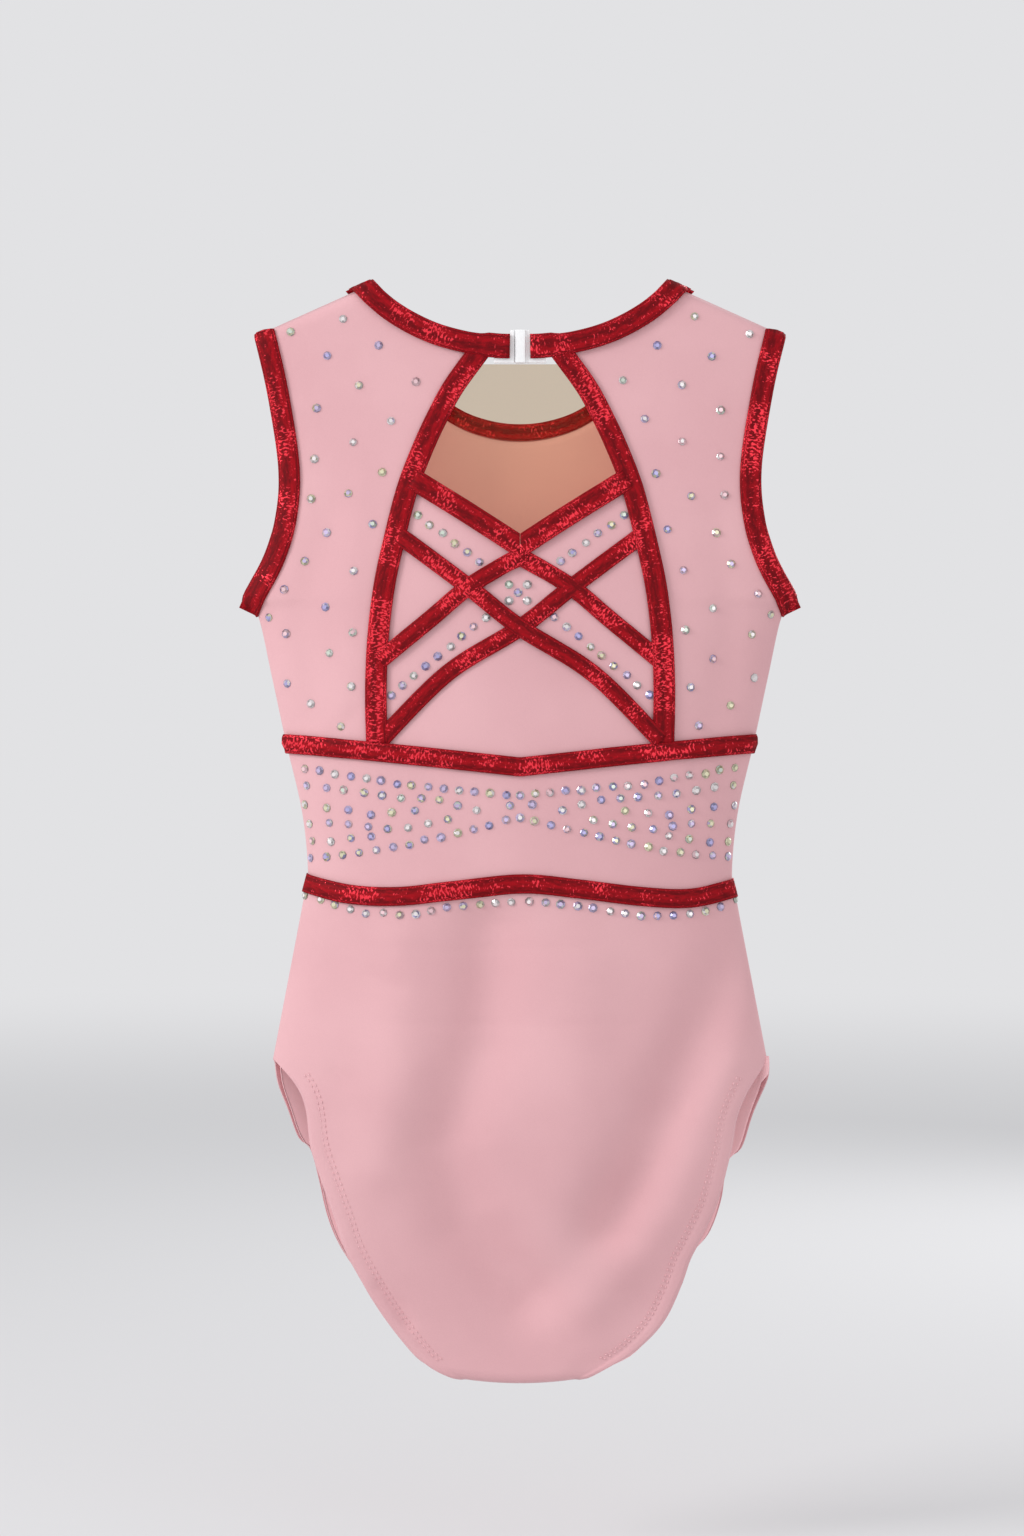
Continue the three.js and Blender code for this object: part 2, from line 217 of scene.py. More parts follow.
def finishMesh(name, bm, material, body="garment", smoothFaces=True):
    mesh = bpy.data.meshes.new(name)
    bm.to_mesh(mesh)
    bm.free()
    piece = bpy.data.objects.new(name, mesh)
    bpy.context.scene.collection.objects.link(piece)
    mesh.materials.append(material)
    if smoothFaces:
        mesh.shade_smooth()
    if body:
        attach(piece, body)
    return piece


def faceOutwards(bm, face):
    bm.normal_update()
    if sum(f.normal.y * f.calc_area() for f in bm.faces) * face < 0:
        bmesh.ops.reverse_faces(bm, faces=bm.faces)


# Materials


def tint(red, green, blue):  # a display colour as the shader's linear one
    def linear(c):
        c /= 255
        return c / 12.92 if c <= 0.04045 else ((c + 0.055) / 1.055) ** 2.4
    return (linear(red), linear(green), linear(blue), 1)


class Wire:  # one socket of a material, so that its maths reads as maths
    def __init__(self, finish, socket):
        self.finish, self.socket = finish, socket

    def maths(self, operation, *others):
        return self.finish.add("ShaderNodeMath", {"operation": operation}, dict(enumerate((self, *others))))

    def __add__(self, other):
        return self.maths("ADD", other)

    def __sub__(self, other):
        return self.maths("SUBTRACT", other)

    def __mul__(self, other):
        return self.maths("MULTIPLY", other)

    def __rsub__(self, other):
        return self.finish.add("ShaderNodeMath", {"operation": "SUBTRACT"}, {0: other, 1: self})

    __radd__ = __add__
    __rmul__ = __mul__

    def sine(self):
        return self.maths("SINE")

    def clamped(self, low, high):  # 0 below low, 1 above high
        return self.finish.add("ShaderNodeMapRange", {"interpolation_type": "SMOOTHSTEP"},
                               {0: self, 1: low, 2: high, 3: 0.0, 4: 1.0})


class Finish:  # a material under construction
    def __init__(self, name):
        self.material = bpy.data.materials.new(name)
        self.material.use_nodes = True
        self.tree = self.material.node_tree
        self.tree.nodes.clear()

    def add(self, kind, settings=None, sockets=None, out=0):
        node = self.tree.nodes.new(kind)
        for key, value in (settings or {}).items():
            setattr(node, key, value)
        for key, value in (sockets or {}).items():
            if isinstance(value, Wire):
                self.tree.links.new(value.socket, node.inputs[key])
            else:
                node.inputs[key].default_value = value
        return Wire(self, node.outputs[out])

    def mix(self, share, first, second):
        return self.add("ShaderNodeMix", {"data_type": "RGBA"}, {0: share, 6: first, 7: second}, out=2)

    def split(self, vector):
        node = self.add("ShaderNodeSeparateXYZ", {}, {0: vector}).socket.node
        return [Wire(self, node.outputs[i]) for i in range(3)]

    def noise(self, vector, scale, detail=2.0):
        return self.add("ShaderNodeTexNoise", {}, {"Vector": vector, "Scale": scale, "Detail": detail})

    def bump(self, height, strength, distance):
        return self.add("ShaderNodeBump", {}, {"Height": height, "Strength": strength, "Distance": distance})

    def done(self, **sockets):
        values = {}
        for key, value in sockets.items():  # baseColor is the socket Base Color
            name = "".join(" " + c if c.isupper() else c for c in key).replace("I O R", "IOR")
            values[name[0].upper() + name[1:]] = value
        return self.shown(self.add("ShaderNodeBsdfPrincipled", {}, values))

    def shown(self, shader):
        output = self.tree.nodes.new("ShaderNodeOutputMaterial")
        self.tree.links.new(shader.socket, output.inputs["Surface"])
        return self.material


def knit(name, light, deep, pitch=0.0007, sheen=0.12, rough=0.85, glow=0.0):
    f = Finish(name)
    where = f.add("ShaderNodeTexCoord", out=3)
    x, y, z = f.split(where)
    loops = (x * (math.tau / pitch)).sine() * (z * (math.tau / pitch)).sine()
    cloud = f.noise(where, 14.0, 3.0)
    grain = f.noise(where, 2600.0, 2.0)
    lightness = cloud.clamped(0.3, 0.7) * 0.5 + grain.clamped(0.25, 0.75) * 0.35 + loops * 0.08
    colour = f.mix(lightness, deep, light)
    # An emission strength above 0 makes the cloth give off its paler colour: painted light, standing in for
    # light passing through the thin cloth.
    return f.done(baseColor=colour, roughness=rough - grain * 0.1, sheenWeight=sheen, sheenRoughness=0.5,
                  specularIORLevel=0.2, emissionColor=light, emissionStrength=glow,
                  normal=f.bump(loops * 0.6 + grain, 0.22, 0.00012))


def foil(name, glow=0.0):  # red stretch cloth with rows of foil dots; the dots' brightness is a painted highlight, gathered in painted lit areas
    f = Finish(name)
    cloth = f.add("ShaderNodeUVMap", {"uv_map": "cloth"})
    where = f.add("ShaderNodeTexCoord", out=3)
    along, across, unused = f.split(cloth)
    rows = (across * (math.tau / 0.0021)).sine() * 0.5 + 0.5
    dotted = f.add("ShaderNodeMapping", {}, {"Vector": cloth, "Scale": (1000.0, 1700.0, 1.0)})
    fleck = f.noise(dotted, 1.0, 1.0)
    # painted light: noisy areas standing for foil turned to the lamps, where more dots are painted bright
    litPatches = f.noise(where, 62.0, 2.0).clamped(0.42, 0.62)
    drawn = f.add("ShaderNodeMapping", {}, {"Vector": cloth, "Scale": (260.0, 2600.0, 1.0)})
    threads = f.noise(drawn, 1.0, 2.0)
    # painted glints: the dots that turn bright, most of all in the lit areas and on the rows
    paintedGlint = (fleck + litPatches * 0.17 + rows * 0.06).clamped(0.68, 0.8)
    # a streaked red ground, darker between the rows: painted shade of the grooves between the ridges
    ground = f.mix((threads * 0.8 + rows * 0.25).clamped(0.3, 0.8), tint(104, 2, 11), tint(162, 5, 21))
    # the bright red laid on those dots is a painted highlight; they also get more metal and less roughness
    colour = f.mix(paintedGlint, ground, tint(246, 60, 74))
    # An emission strength above 0 makes the ground give off light: painted light.
    return f.done(baseColor=colour, metallic=paintedGlint * 0.5, roughness=0.6 - paintedGlint * 0.3, specularIORLevel=0.12,
                  emissionColor=ground, emissionStrength=glow,
                  normal=f.bump(fleck + threads * 0.5, 0.5, 0.0003))


def sheer(name):  # nude stretch net, which tints what shows through each of its two walls
    f = Finish(name)
    where = f.add("ShaderNodeTexCoord", out=3)
    x, y, z = f.split(where)
    net = ((x + z) * (math.tau / 0.0011)).sine() * ((x - z) * (math.tau / 0.0011)).sine()
    threads = f.add("ShaderNodeBsdfPrincipled", {}, {"Base Color": tint(196, 158, 120), "Roughness": 0.8})
    tinted = f.add("ShaderNodeBsdfTransparent", {}, {"Color": (0.875, 0.808, 0.72, 1)})
    return f.shown(f.add("ShaderNodeMixShader", {}, {0: net * net * 0.03 + 0.015, 1: tinted, 2: threads}))


def crystal(name):
    f = Finish(name)
    # the vertex colours are the stones' tints with painted facet light and shade
    colour = f.add("ShaderNodeVertexColor", {"layer_name": "stoneTintAndShade"})
    where = f.add("ShaderNodeTexCoord", out=3)
    polish = f.noise(where, 700.0) * 0.12 + 0.03
    return f.done(baseColor=colour, metallic=0.3, roughness=polish, coatWeight=1.0, coatRoughness=0.02)


def plastic(name):
    f = Finish(name)
    where = f.add("ShaderNodeTexCoord", out=3)
    cloud = f.noise(where, 300.0, 2.0)
    colour = f.mix(cloud, tint(244, 244, 245), tint(252, 252, 252))
    return f.done(baseColor=colour, roughness=cloud * 0.15 + 0.25,
                  normal=f.bump(f.noise(where, 1800.0), 0.1, 0.00005))


pinkKnit = knit("pinkKnit", tint(232, 183, 187), tint(220, 169, 174))
# pinkInside and liningKnit give off light of their own: painted light on the garment's inside, for light
# through the thin cloth.
pinkInside = knit("pinkInside", tint(236, 188, 192), tint(224, 174, 180), glow=0.22)
liningKnit = knit("liningKnit", tint(234, 190, 190), tint(222, 178, 178), sheen=0.05, glow=0.42)
elasticKnit = knit("elasticKnit", tint(240, 206, 206), tint(226, 186, 188), pitch=0.0012)
threadPink = knit("threadPink", tint(244, 204, 206), tint(226, 172, 178), pitch=0.0003, sheen=0.1, rough=0.6)
redFoil = foil("redFoil")
# redInside gives off light of its own: painted light on the inside fold of the front neck binding.
redInside = foil("redInside", glow=0.5)
nudeNet = sheer("nudeNet")
stoneFinish = crystal("crystal")
whitePlastic = plastic("whitePlastic")
print("materials made")

# Camera, light and floor
studio = dict(
    middle=(-4, -243.5), distance=1900, height=768,  # the camera's, in millimetres
    floor=-640, backdrop=tint(226, 226, 228), reach=(1.2, 5.0),
    lamps=[  # name, place, size and power
        ("key", (-1.5, -0.9, 0.5), 0.7, 15),
        ("fill", (0.9, -1.6, 0.1), 1.2, 3),
        ("back", (0.9, 1.5, 0.5), 1.0, 9),
    ],
)


def aim(thing, target):
    thing.rotation_euler = (Vector(target) - thing.location).to_track_quat("-Z", "Y").to_euler()


def addStudio():
    scene = bpy.context.scene
    camera = bpy.data.objects.new("camera", bpy.data.cameras.new("camera"))
    scene.collection.objects.link(camera)
    x, z = studio["middle"]
    camera.location = Vector((x, -studio["distance"], z)) * mm
    camera.rotation_euler = (math.pi / 2, 0, 0)
    camera.data.sensor_fit = "VERTICAL"
    camera.data.sensor_height = 36
    camera.data.lens = 36 * studio["distance"] / studio["height"]
    scene.camera = camera
    scene.view_settings.view_transform = "Standard"
    for name, where, size, power in studio["lamps"]:
        lamp = bpy.data.objects.new(name, bpy.data.lights.new(name, "AREA"))
        scene.collection.objects.link(lamp)
        lamp.location = where
        lamp.data.size = size
        lamp.data.energy = power
        aim(lamp, (0, 0, -0.27))
    world = bpy.data.worlds.new("studio")
    scene.world = world
    world.use_nodes = True
    world.node_tree.nodes["Background"].inputs["Color"].default_value = studio["backdrop"]
    bm = bmesh.new()
    bmesh.ops.create_circle(bm, cap_ends=True, segments=64, radius=40)
    bmesh.ops.translate(bm, vec=(0, 0, studio["floor"] * mm), verts=bm.verts)
    mesh = bpy.data.meshes.new("floor")
    bm.to_mesh(mesh)
    bm.free()
    floor = bpy.data.objects.new("floor", mesh)
    scene.collection.objects.link(floor)
    paper = Finish("paper")  # pale paper that turns into the backdrop with distance
    x, y, z = paper.split(paper.add("ShaderNodeTexCoord", out=3))
    far = (x * x + y * y).maths("SQRT").clamped(*studio["reach"])
    near = paper.add("ShaderNodeBsdfDiffuse", {}, {"Color": tint(218, 218, 219)})
    sky = paper.add("ShaderNodeEmission", {}, {"Color": studio["backdrop"]})
    mesh.materials.append(paper.shown(paper.add("ShaderNodeMixShader", {}, {0: far, 1: near, 2: sky})))


addStudio()
print("studio made")

# Cloth panels: each is a grid drawn between four edges, laid on the form


def patch(edges, s, t):  # a point between four edge paths
    top, bottom, left, right = edges
    corners = (top.at(0) * (1 - s) + top.at(1) * s) * (1 - t) + (bottom.at(0) * (1 - s) + bottom.at(1) * s) * t
    return top.at(s) * (1 - t) + bottom.at(s) * t + left.at(t) * (1 - s) + right.at(t) * s - corners


eases = {
    "even": lambda s: s,
    "both": lambda s: 0.5 - 0.5 * math.cos(math.pi * s),
    "end": lambda s: math.sin(math.pi * s / 2),
}


def panel(name, edges, face, columns, rows, material, ease="even", lift=0.0, thick=0.7, hems=None):
    bm = bmesh.new()
    uv = bm.loops.layers.uv.new("cloth")
    bmesh.ops.create_grid(bm, x_segments=columns, y_segments=rows, size=0.5)
    paths = [Path(edge) for edge in edges]
    for v in bm.verts:
        s, t = v.co.x + 0.5, 0.5 - v.co.y
        spot = patch(paths, eases[ease](s), t)
        raised = lift + (hems(spot, paths, t) if hems else 0)
        v.co, outward = place(spot.x, spot.y, face, raised)
    for f in bm.faces:
        for loop in f.loops:
            loop[uv].uv = (loop.vert.co.x, loop.vert.co.z)
    faceOutwards(bm, face)
    piece = finishMesh(name, bm, material, body=None)
    wall = piece.modifiers.new("wall", "SOLIDIFY")
    wall.thickness = thick * mm
    wall.offset = -1
    return piece


def declare(piece, node):
    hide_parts(node)
    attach(piece, "garment")


trims = dict(
    upper=[(-117, -231), (-60, -236.5), (0, -243), (60, -236.5), (117, -231)],
    lower=[(-107.8, -300.5), (-85, -306), (-60, -307), (-34, -304), (0, -300.5), (28, -303), (60, -307),
           (85, -308), (107.8, -303)],
    upperWidth=9.5, lowerWidth=9.5, strapWidth=8.6, bindingWidth=10.8,
)
keyhole = [(19, -37), (33, -54), (42, -71), (49.5, -88), (56, -106), (62, -130), (67, -154), (70, -180),
           (71, -206), (70.5, -238)]
vLine = [(-54, -100), (-26, -118), (0, -134.5), (26, -118), (54, -100)]
backNeck = [(80, -2), (64, -16), (46, -26), (28, -31.5), (12, -33.5), (5, -33.8)]
frontNeck = [(81, -4), (75, -17), (68, -31), (58, -45.5), (47, -57.5), (36, -66), (25, -71.5),
             (12, -75), (0, -76)]
legBackRight = [(123.5, -389), (115, -403), (109, -417), (106.5, -431), (104, -441), (98.5, -461),
                (89.5, -480), (85, -489), (80.5, -502), (72.5, -519), (61, -532), (49, -540.5), (36, hemAt(36))]
legBackLeft = [(-123, -389), (-116, -396), (-110.5, -404), (-107, -414.5), (-104.8, -432), (-99, -450),
               (-92.7, -468), (-88, -482.5), (-80, -498), (-67, -519), (-50, -539.5), (-36, hemAt(36))]
legFrontRight = [(124.5, -389), (124, -399), (117, -417), (111.5, -434), (104.5, -441.5), (101, -461),
                 (95, -477), (86, -488), (78, -504), (71, -519), (57, -533.5), (46, -542), (36, hemAt(36))]
legFrontLeft = [(-123, -389), (-121.5, -401), (-116.5, -415), (-111.4, -429), (-105.5, -435), (-101.6, -448.5),
                (-97, -468), (-91, -482.5), (-81, -498), (-68.5, -518), (-51, -539.5), (-36, hemAt(36))]


def cut(points, high, low):  # the stretch of the smooth path between two heights
    return [(p.x, p.y) for p in catmull(points) if high >= p.y >= low]


def sideBetween(high, low, hand=1):
    steps = 14
    heights = [high + (low - high) * i / steps for i in range(steps + 1)]
    return [(hand * widthAt(z), z) for z in heights]


def hem(spot, paths, t, roll=-1.6):  # a turned hem along the leg edges, whose rim rolls in
    edge = min((spot - paths[2].at(t)).length, (spot - paths[3].at(t)).length)
    if spot.y > -392:
        return 0
    fadeIn = smoothStep(-spot.y, 392, 410)
    band = 0.7 * math.exp(-((edge - 4.5) / 3.4) ** 4)
    return fadeIn * (band + roll * (1 - smoothStep(edge, 0, 2.4)))


def flatHem(spot, paths, t):  # the front's, whose rim lies flat
    return hem(spot, paths, t, roll=0)


lowerPath = catmull(trims["lower"])
upperPath = catmull(trims["upper"][:3]) + catmull(trims["upper"][2:])[1:]
bodiceEdge = catmull(form["armhole"])
bodice = pairs(bodiceEdge) + sideBetween(-161, -231)
shoulders = [(80 + 53 * i / 6, shoulderAt(80 + 53 * i / 6)) for i in range(7)]
neckArc = pairs(catmull(frontNeck + mirror(frontNeck)[-2::-1], 4))


def addPanels():
    neckToTip = pairs(catmull([(80, shoulderAt(80)), (64, -16), (46, -26), (28, -32), (19, -36)]))[::-1]
    top = neckToTip + shoulders[1:]
    inner = pairs(catmull([(19, -36)] + keyhole[1:]))
    bottom = [(70.5, -238), (95, -235), (117, -231)]
    for hand, side in ((-1, "left"), (1, "right")):
        edges = [top, bottom, inner, bodice]
        edges = [mirror(e) for e in edges] if hand < 0 else edges
        piece = panel("back_panel_cloth_" + side, edges, -1, 54, 92, pinkKnit, ease="end")
        if hand < 0:
            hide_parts("back_panel_left")
            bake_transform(piece)
        else:
            declare(piece, "back_panel_right")

    bottomV = [(p.x, p.y) for p in upperPath if abs(p.x) <= 71]
    right = cut(keyhole, -100, -240)
    edges = [vLine, bottomV, mirror(right), right]
    piece = panel("back_centre_cloth", edges, -1, 64, 64, pinkKnit)
    declare(piece, "back_centre_panel")

    netTop = [(-20, -41.5), (20, -41.5)]
    netRight = cut(keyhole, -41, -101)
    netBottom = [(x, z - 1.5) for x, z in vLine]
    edges = [netTop, netBottom, mirror(netRight), netRight]
    piece = panel("keyhole_net", edges, -1, 46, 40, nudeNet, lift=-0.4, thick=0.3)
    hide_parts("keyhole_mesh")
    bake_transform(piece)

    # Front bodice, open at the neck
    frontTop = mirror(shoulders[::-1]) + mirror(neckArc)[1:-1] + shoulders
    edges = [frontTop, pairs(upperPath), mirror(bodice), bodice]
    piece = panel("front_bodice_cloth", edges, 1, 110, 84, pinkKnit, ease="both")
    declare(piece, "front_bodice")

    lining = [(x, z - 3.5) for x, z in mirror(neckArc) if z < -26]
    low = [(-94, -215), (0, -222), (94, -215)]
    across = [lining[-1], (96, -90), (106, -160), (94, -215)]
    edges = [lining, low, mirror(across), across]
    piece = panel("front_lining_cloth", edges, 1, 50, 36, liningKnit, lift=-1.5, thick=0.5)
    declare(piece, "front_lining")

    for face, where in ((-1, "back"), (1, "front")):
        left, right = mirror(sideBetween(-231, -300.5)), sideBetween(-231, -303)
        edges = [pairs(upperPath), pairs(lowerPath), left, right]
        piece = panel("waist_cloth_" + where, edges, face, 96, 28, pinkKnit, ease="both")
        declare(piece, "waist_panel_" + where)

    bottomEdge = [(x, hemAt(x)) for x in range(-36, 37, 4)]
    sideLow = sideBetween(-303, -389)

    def brief(name, face, legs, hems):  # from the lower trim down to the crotch
        right, left = (pairs(catmull(leg)) for leg in legs)
        edges = [pairs(lowerPath), bottomEdge, mirror(sideLow) + left[1:], sideLow + right[1:]]
        return panel(name, edges, face, 104, 110, pinkKnit, ease="both", hems=hems)

    declare(brief("seat_cloth", -1, (legBackRight, legBackLeft), hem), "seat_panel")
    declare(brief("front_brief_cloth", 1, (legFrontRight, legFrontLeft), flatHem), "front_brief")
    gusset = [(40, -430), (30, -490), (24, -540)]
    edges = [[(-40, -430), (0, -424), (40, -430)], [(-24, -540), (24, -540)], mirror(gusset), gusset]
    piece = panel("gusset_lining_cloth", edges, 1, 24, 36, liningKnit, lift=-1.5, thick=0.5)
    declare(piece, "gusset_lining")


addPanels()
print("panels made")

# Bindings and trims: a folded tape swept along a path on the form


def tapeSection(width, thick, share):  # across and up, round a flat folded tape
    turn = math.tau * share
    flat = math.copysign(abs(math.cos(turn)) ** 0.35, math.cos(turn))
    rise = math.copysign(abs(math.sin(turn)) ** 0.6, math.sin(turn))
    grooves = 0.16 * math.cos(flat * 9.4) if rise > 0 else 0
    return flat * width / 2, (rise * thick / 2) + grooves * max(rise, 0)


def addTape(bm, path, face, width, lift, thick, step=2.2, around=20, widen=None):
    uv = bm.loops.layers.uv.verify()
    route = Path(path)
    count = max(6, round(route.length / step))
    grid = bmesh.ops.create_grid(bm, x_segments=count, y_segments=around, size=0.5)
    shares = {}
    for v in grid["verts"]:
        s, k = v.co.x + 0.5, v.co.y + 0.5
        here = route.at(s)
        ahead, behind = route.at(min(1, s + 0.01)), route.at(max(0, s - 0.01))
        tangent = (ahead - behind).normalized()
        across, rise = tapeSection(width * (widen(s) if widen else 1), thick, k)
        x, z = here.x - tangent.y * across, here.y + tangent.x * across
        wavy = 0.25 * noise.noise(Vector((here.x, here.y, lift)) * 0.11)
        v.co, outward = place(x, z, face, lift + wavy + rise)
        shares[v] = (s * route.length * mm, k * 2 * width * mm)
    faces = {f for v in grid["verts"] for f in v.link_faces}
    for f in faces:
        for loop in f.loops:
            loop[uv].uv = shares[loop.vert]
    ends = [[v for v in grid["verts"] if abs(shares[v][0] - want) < 1e-7] for want in (0, route.length * mm)]
    for rim in ends:
        capped = bmesh.ops.contextual_create(bm, geom=sorted(rim, key=lambda v: shares[v][1])[:-1])
        for f in capped["faces"]:
            for loop in f.loops:
                loop[uv].uv = (0, 0)
    bmesh.ops.remove_doubles(bm, verts=grid["verts"], dist=0.00001)


def trimTape(bm, corner, outward):  # cuts the tape off square to a direction in the garment's front view
    spot, direction = Vector((corner[0], 0, corner[1])) * mm, (outward[0], 0, outward[1])
    bmesh.ops.bisect_plane(bm, geom=bm.verts[:] + bm.edges[:] + bm.faces[:], clear_outer=True,
                           plane_co=spot, plane_no=direction)
    bmesh.ops.holes_fill(bm, edges=[e for e in bm.edges if e.is_boundary])


def tapePiece(name, runs, nodes, width, lift=1.0, thick=1.3, blendEnd=None, material=redFoil, slot="red_foil",
              trimAt=(), **more):
    bm = bmesh.new()
    bm.loops.layers.uv.new("cloth")
    for face, path in runs:
        addTape(bm, path, face, width, lift, thick, **more)
    for corner, outward in trimAt:
        trimTape(bm, corner, outward)
    bmesh.ops.recalc_face_normals(bm, faces=bm.faces)
    piece = finishMesh(name, bm, material, body=None if blendEnd else "garment")
    if nodes:
        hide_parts(*nodes)
    if blendEnd:
        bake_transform(piece)
    return piece


def tabWidening(share):  # the binding's square end is a little wider than the rest
    return 1 + 0.14 * smoothStep(share, 0.84, 0.88)


def addTapes():
    width = trims["bindingWidth"]
    neckBlend = ((-0.042, 0, 0), (-0.0125, 0, 0))
    backNeckPath = pairs(catmull([(86, 3), (80, -2)] + backNeck[1:]))
    overShoulder = {hand: ((hand * 80, shoulderAt(80) + 2.4), (hand * 0.447, 1)) for hand in (-1, 1)}
    keyholePath = pairs(catmull([(20, -36)] + keyhole[1:-1] + [(70.5, -231)]))
    longStrap = pairs(catmull([(-60, -128.5), (-26, -154), (0, -174.5), (36, -197), (69, -230)]))
    shortStrap = pairs(catmull([(-2, -138), (24, -153.5), (44.5, -170.5), (69, -190.5)]))
    for hand, side in ((-1, "left"), (1, "right")):
        turn = mirror if hand < 0 else list
        blend = neckBlend if hand < 0 else None
        tapePiece("keyhole_tape_" + side, [(-1, turn(keyholePath))], ["keyhole_binding_" + side], width,
                  lift=1.5, blendEnd=blend)
        vHalf = turn([(53, -100.5), (26, -117.5), (0, -134.5), (-10, -141)])
        tapePiece("v_tape_" + side, [(-1, pairs(catmull(vHalf, 6)))], ["v_trim_" + side], width, lift=2.2,
                  trimAt=[((hand * 0.1, 0), (-hand, 0))])
        nodes = ["neck_binding_" + side] + (["neck_binding_left_end"] if hand < 0 else [])
        tapePiece("neck_tape_" + side, [(-1, turn(backNeckPath))], nodes, width, lift=2.0, thick=2.0,
                  blendEnd=blend, trimAt=[overShoulder[hand]], widen=tabWidening)
        # Armhole bindings wrap the edge, over the shoulder and under the arm
        edge = [(x - width * 0.47, z) for x, z in form["armhole"]]
        edge[0] = (127.6, shoulderAt(127.6) - 0.6)
        edge = edge[:-1] + [(132, -158), (135.4, -165.5)]
        ring = turn(pairs(catmull(edge)))
        tapePiece("armhole_tape_" + side, [(-1, ring), (1, ring)], ["armhole_binding_" + side], width,
                  lift=0.7, thick=2.4)
        legs = {-1: legBackRight, 1: legFrontRight}
        if hand < 0:
            legs = {-1: mirror(legBackLeft), 1: mirror(legFrontLeft)}
        inside = []
        for face in (-1, 1):
            edge = pairs(catmull(legs[face]))[:-6]
            inside.append((face, turn([(x - 5.5, z + 1.5) for x, z in edge])))
        tapePiece("leg_elastic_tape_" + side, inside, ["leg_elastic_" + side], 7, lift=-1.9, thick=0.9,
                  material=elasticKnit, slot="elastic", step=4, around=12)
        turnedIn = [(face, [(x + hand * 0.9, z) for x, z in path]) for face, path in inside]
        tapePiece("leg_hem_fold_" + side, turnedIn, [], 9, lift=-2.8, thick=0.7, material=pinkInside,
                  slot="pink_knit", step=4, around=12)
    # The straps pass over and under each other
    straps = [(longStrap, 2.1), (mirror(longStrap), 1.2), (shortStrap, 1.2), (mirror(shortStrap), 2.1)]
    for number, (path, lift) in enumerate(straps, 1):
        tapePiece("strap_tape_%d" % number, [(-1, path)], ["lattice_strap_%d" % number],
                  trims["strapWidth"], lift=lift, thick=0.9)
    overNeck = [(88, 4)] + neckArc + [(-88, 4)]
    tapePiece("front_neck_tape", [(1, overNeck)], ["front_neck_binding"], width, lift=1.0, thick=2.0,
              trimAt=overShoulder.values())
    foldedIn = [(x * 0.985, z + 1.2) for x, z in neckArc]
    tapePiece("front_neck_fold", [(1, foldedIn)], ["front_neck_binding"], 8.2, lift=-2.0, thick=1.4,
              material=redInside, trimAt=overShoulder.values())
    for face, where in ((-1, "back"), (1, "front")):
        tapePiece("upper_trim_tape_" + where, [(face, pairs(upperPath))], ["waist_trim_upper_" + where],
                  trims["upperWidth"], lift=1.7)
        tapePiece("lower_trim_tape_" + where, [(face, pairs(lowerPath))], ["waist_trim_lower_" + where],
                  trims["lowerWidth"], lift=1.3)


addTapes()
print("tapes made")

# Crystal stones: faceted domes with a bevelled crown, in small groups
stones = dict(
    radius=2.2, crown=1.75, table=1.0, girdle=0.5, height=1.0, sides=8, loose=1.5,
    scatter=[(87, -19), (114, -26), (97, -38), (69, -34), (80, -53), (51, -51), (101, -65), (63, -71),
             (82, -82), (101, -89), (68, -97), (84, -107), (103, -109), (73, -124), (96, -128), (106, -142),
             (82, -145), (118, -156), (95, -163), (126, -168), (82, -175), (115, -177), (96, -188),
             (116, -200), (83, -204), (105, -212), (88, -223)],
    diamond=[(-5.5, -153), (3.5, -153), (-1, -157), (-5.5, -161), (3.5, -161)],
    upperRow=([(51, -118.5), (20, -141.5)], 7.6),
    lowerRow=([(64, -207.5), (17, -169)], 7.5),
    waistRows=[  # each a line and the pitch along it
        ([(107, -243.5), (60, -251.5), (7, -256.5)], 7.7),
        ([(106, -252), (71, -257), (40, -259.5), (21, -264)], 9.3),
        ([(107, -262), (85, -264), (76, -267), (52, -264.5)], 10.4),
        ([(105, -271.5), (92, -270.5), (62, -274), (36, -269)], 9.4),
        ([(104, -280), (94, -280), (74, -277)], 9.6),
        ([(104, -288), (73, -285), (37, -277), (7, -269.5)], 8),
    ],
    waistMiddle=[(0, -257), (0, -268), (-5, -262), (6, -261.5)],
    hemRow=([(-107, -307), (-80, -315), (-55, -316), (-32, -312), (0, -309), (32, -312), (57, -316),
             (75, -317), (93, -315), (107, -309)], 8),
)
tones = [tint(238, 232, 232), tint(206, 190, 226), tint(178, 172, 220), tint(226, 222, 186),
         tint(238, 200, 206), tint(214, 226, 212)]


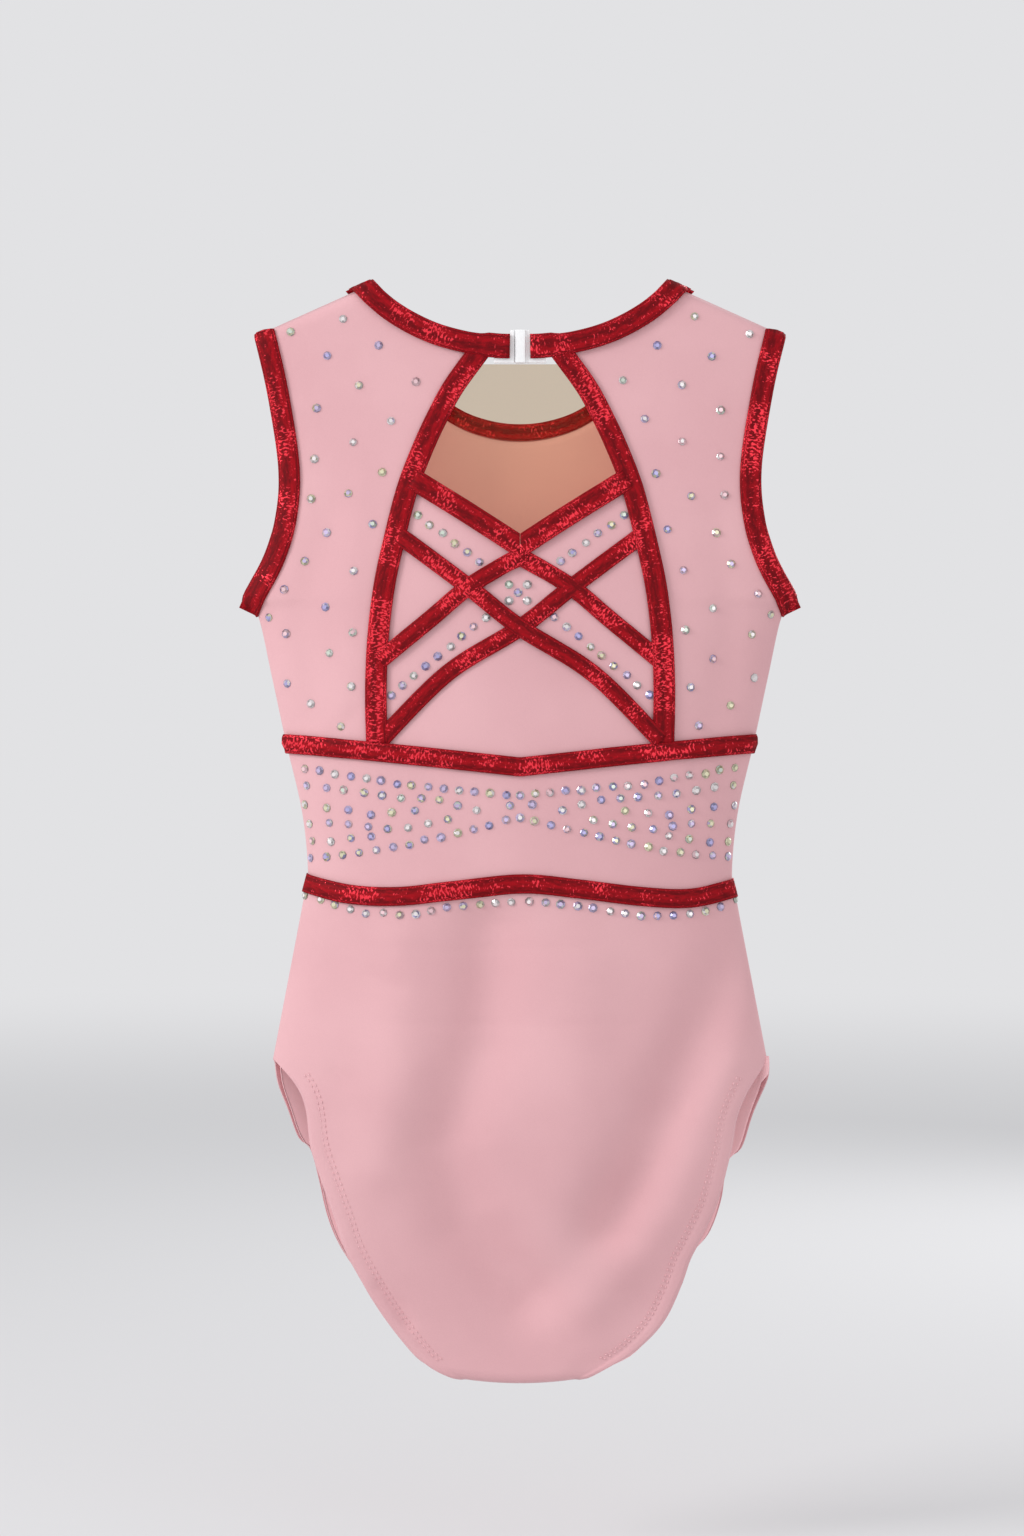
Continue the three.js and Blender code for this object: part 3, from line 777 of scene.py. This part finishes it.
def addStone(bm, colour, x, z, face):
    point, outward = place(x, z, face, 0.05)
    turn = outward.to_track_quat("Z", "Y").to_matrix().to_4x4() @ Matrix.Rotation(random.uniform(0, 1), 4, "Z")
    size = random.uniform(0.92, 1.08)
    where = Matrix.Translation(point) @ turn @ Matrix.Scale(size * mm, 4)
    girdle = bmesh.ops.create_cone(bm, cap_ends=True, segments=stones["sides"], radius1=stones["radius"],
                                   radius2=stones["radius"], depth=stones["girdle"], matrix=where)
    faces = list(dict.fromkeys(f for v in girdle["verts"] for f in v.link_faces))  # in a fixed order
    top = max((f for f in faces if len(f.verts) > 4),
              key=lambda f: (f.calc_center_median() - point).dot(outward))
    for ring, rise in ((stones["radius"] - stones["crown"], 0.35), (stones["crown"] - stones["table"], 0.65)):
        rim = bmesh.ops.inset_region(bm, faces=[top], thickness=ring * size * mm)
        faces += rim["faces"]
        bmesh.ops.translate(bm, vec=outward * rise * stones["height"] * size * mm, verts=top.verts)
    main, second = random.choices(tones, (5, 4, 3, 3, 2, 1), k=2)
    # Each facet's tint is scaled by painted light and shade: darkened sides, random crown facets and a
    # brightened table as a painted highlight.
    for f in faces:
        facing = f.normal.dot(outward)
        shade = 0.2  # painted shade: the sides are darkened
        if facing >= 0.2:
            shade = random.uniform(0.35, 0.9) if facing < 0.97 else random.uniform(0.9, 1.15)
        base = main if random.random() < 0.65 else second
        for loop in f.loops:
            loop[colour] = [shade * c for c in base[:3]] + [1]


def along(points, pitch):
    route = Path(points)
    count = max(1, round(route.length / pitch))
    for i in range(count + 1):
        spot = route.at(i / count)
        yield spot.x + random.uniform(-0.5, 0.5), spot.y + random.uniform(-0.5, 0.5)


def stonePiece(name, spots, face):
    bm = bmesh.new()
    colour = bm.loops.layers.float_color.new("stoneTintAndShade")
    for x, z in spots:
        addStone(bm, colour, x, z, face)
    bmesh.ops.recalc_face_normals(bm, faces=bm.faces)
    return finishMesh(name, bm, stoneFinish, smoothFaces=False)


def belowNeck(x, z):  # clear of the front neck binding
    near = min(neckArc, key=lambda p: math.hypot(p[0] - x, p[1] - z))
    return z < near[1] - 4 and math.hypot(near[0] - x, near[1] - z) > 9


def bothSides(points):
    return list(points) + mirror(points)


def addStones():
    loose = stones["loose"]
    scatter = [(x + random.uniform(-loose, loose), z + random.uniform(-loose, loose))
               for x, z in bothSides(stones["scatter"])]
    rows = [spot for row in stones["waistRows"] for spot in along(*row)]
    rows += [spot for row in stones["waistRows"] for spot in along(mirror(row[0]), row[1])]
    rows += stones["waistMiddle"]
    lattice = [spot for row in (stones["upperRow"], stones["lowerRow"]) for points in (row[0], mirror(row[0]))
               for spot in along(points, row[1])]
    for face, where in ((-1, "back"), (1, "front")):
        keep = scatter if face < 0 else [spot for spot in scatter if belowNeck(*spot)]
        stonePiece("stones_shoulder_" + where, keep, face)
        stonePiece("stones_waist_" + where, rows, face)
        stonePiece("stones_under_trim_" + where, along(*stones["hemRow"]), face)
    stonePiece("stones_lattice", lattice + stones["diamond"], -1)


addStones()
print("stones made")

# Stitches along the leg hems: short threads with rounded ends
stitching = dict(length=2.0, pitch=3.0, thread=0.352, longer=2.6, lift=0.2, inset=8.2, gap=2.2)


def addStitch(bm, here, ahead, face):
    point, outward = place(here.x, here.y, face, stitching["lift"])
    end, outward = place(ahead.x, ahead.y, face, stitching["lift"])
    turn = (end - point).to_track_quat("Z", "Y").to_matrix().to_4x4()
    where = Matrix.Translation((point + end) / 2) @ turn @ Matrix.Diagonal((1, 1, stitching["longer"], 1))
    bmesh.ops.create_icosphere(bm, subdivisions=1, radius=stitching["thread"] * mm, matrix=where)


def addStitches():
    for name, face, legs in (("hem_stitches_back", -1, (legBackRight, legBackLeft)),
                             ("hem_stitches_front", 1, (legFrontRight, legFrontLeft))):
        bm = bmesh.new()
        for leg in legs:
            inward = -1 if leg[0][0] > 0 else 1
            for row in (0, 1):
                shift = stitching["inset"] + row * stitching["gap"]
                line = Path([(x + inward * shift * 0.9, z + shift * 0.25) for x, z in pairs(catmull(leg))])
                count = round(line.length * 0.93 / stitching["pitch"])
                for i in range(4, count):
                    start = i * stitching["pitch"] / line.length
                    addStitch(bm, line.at(start), line.at(start + stitching["length"] / line.length), face)
        finishMesh(name, bm, threadPink)


addStitches()
print("stitches made")


# Clasp halves: the frame's own solids with their sharp edges rounded
def roundedCopy(name, node, bevel, body):
    bm = bmesh.new()
    bm.from_mesh(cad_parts[node].data)
    bmesh.ops.remove_doubles(bm, verts=bm.verts, dist=0.00001)
    bmesh.ops.dissolve_limit(bm, angle_limit=0.02, verts=bm.verts, edges=bm.edges)
    sharp = [e for e in bm.edges if len(e.link_faces) == 2 and e.calc_face_angle() > 0.5]
    bmesh.ops.bevel(bm, geom=sharp, offset=bevel * mm, segments=3, profile=0.5, affect="EDGES", material=-1,
                    clamp_overlap=True)
    piece = finishMesh(name, bm, whitePlastic, body=body)
    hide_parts(node)


roundedCopy("clasp_tongue_half", "clasp_left", 0.3, "clasp_half")
roundedCopy("clasp_channel_half", "clasp_right", 0.3, "garment")
print("clasp made")
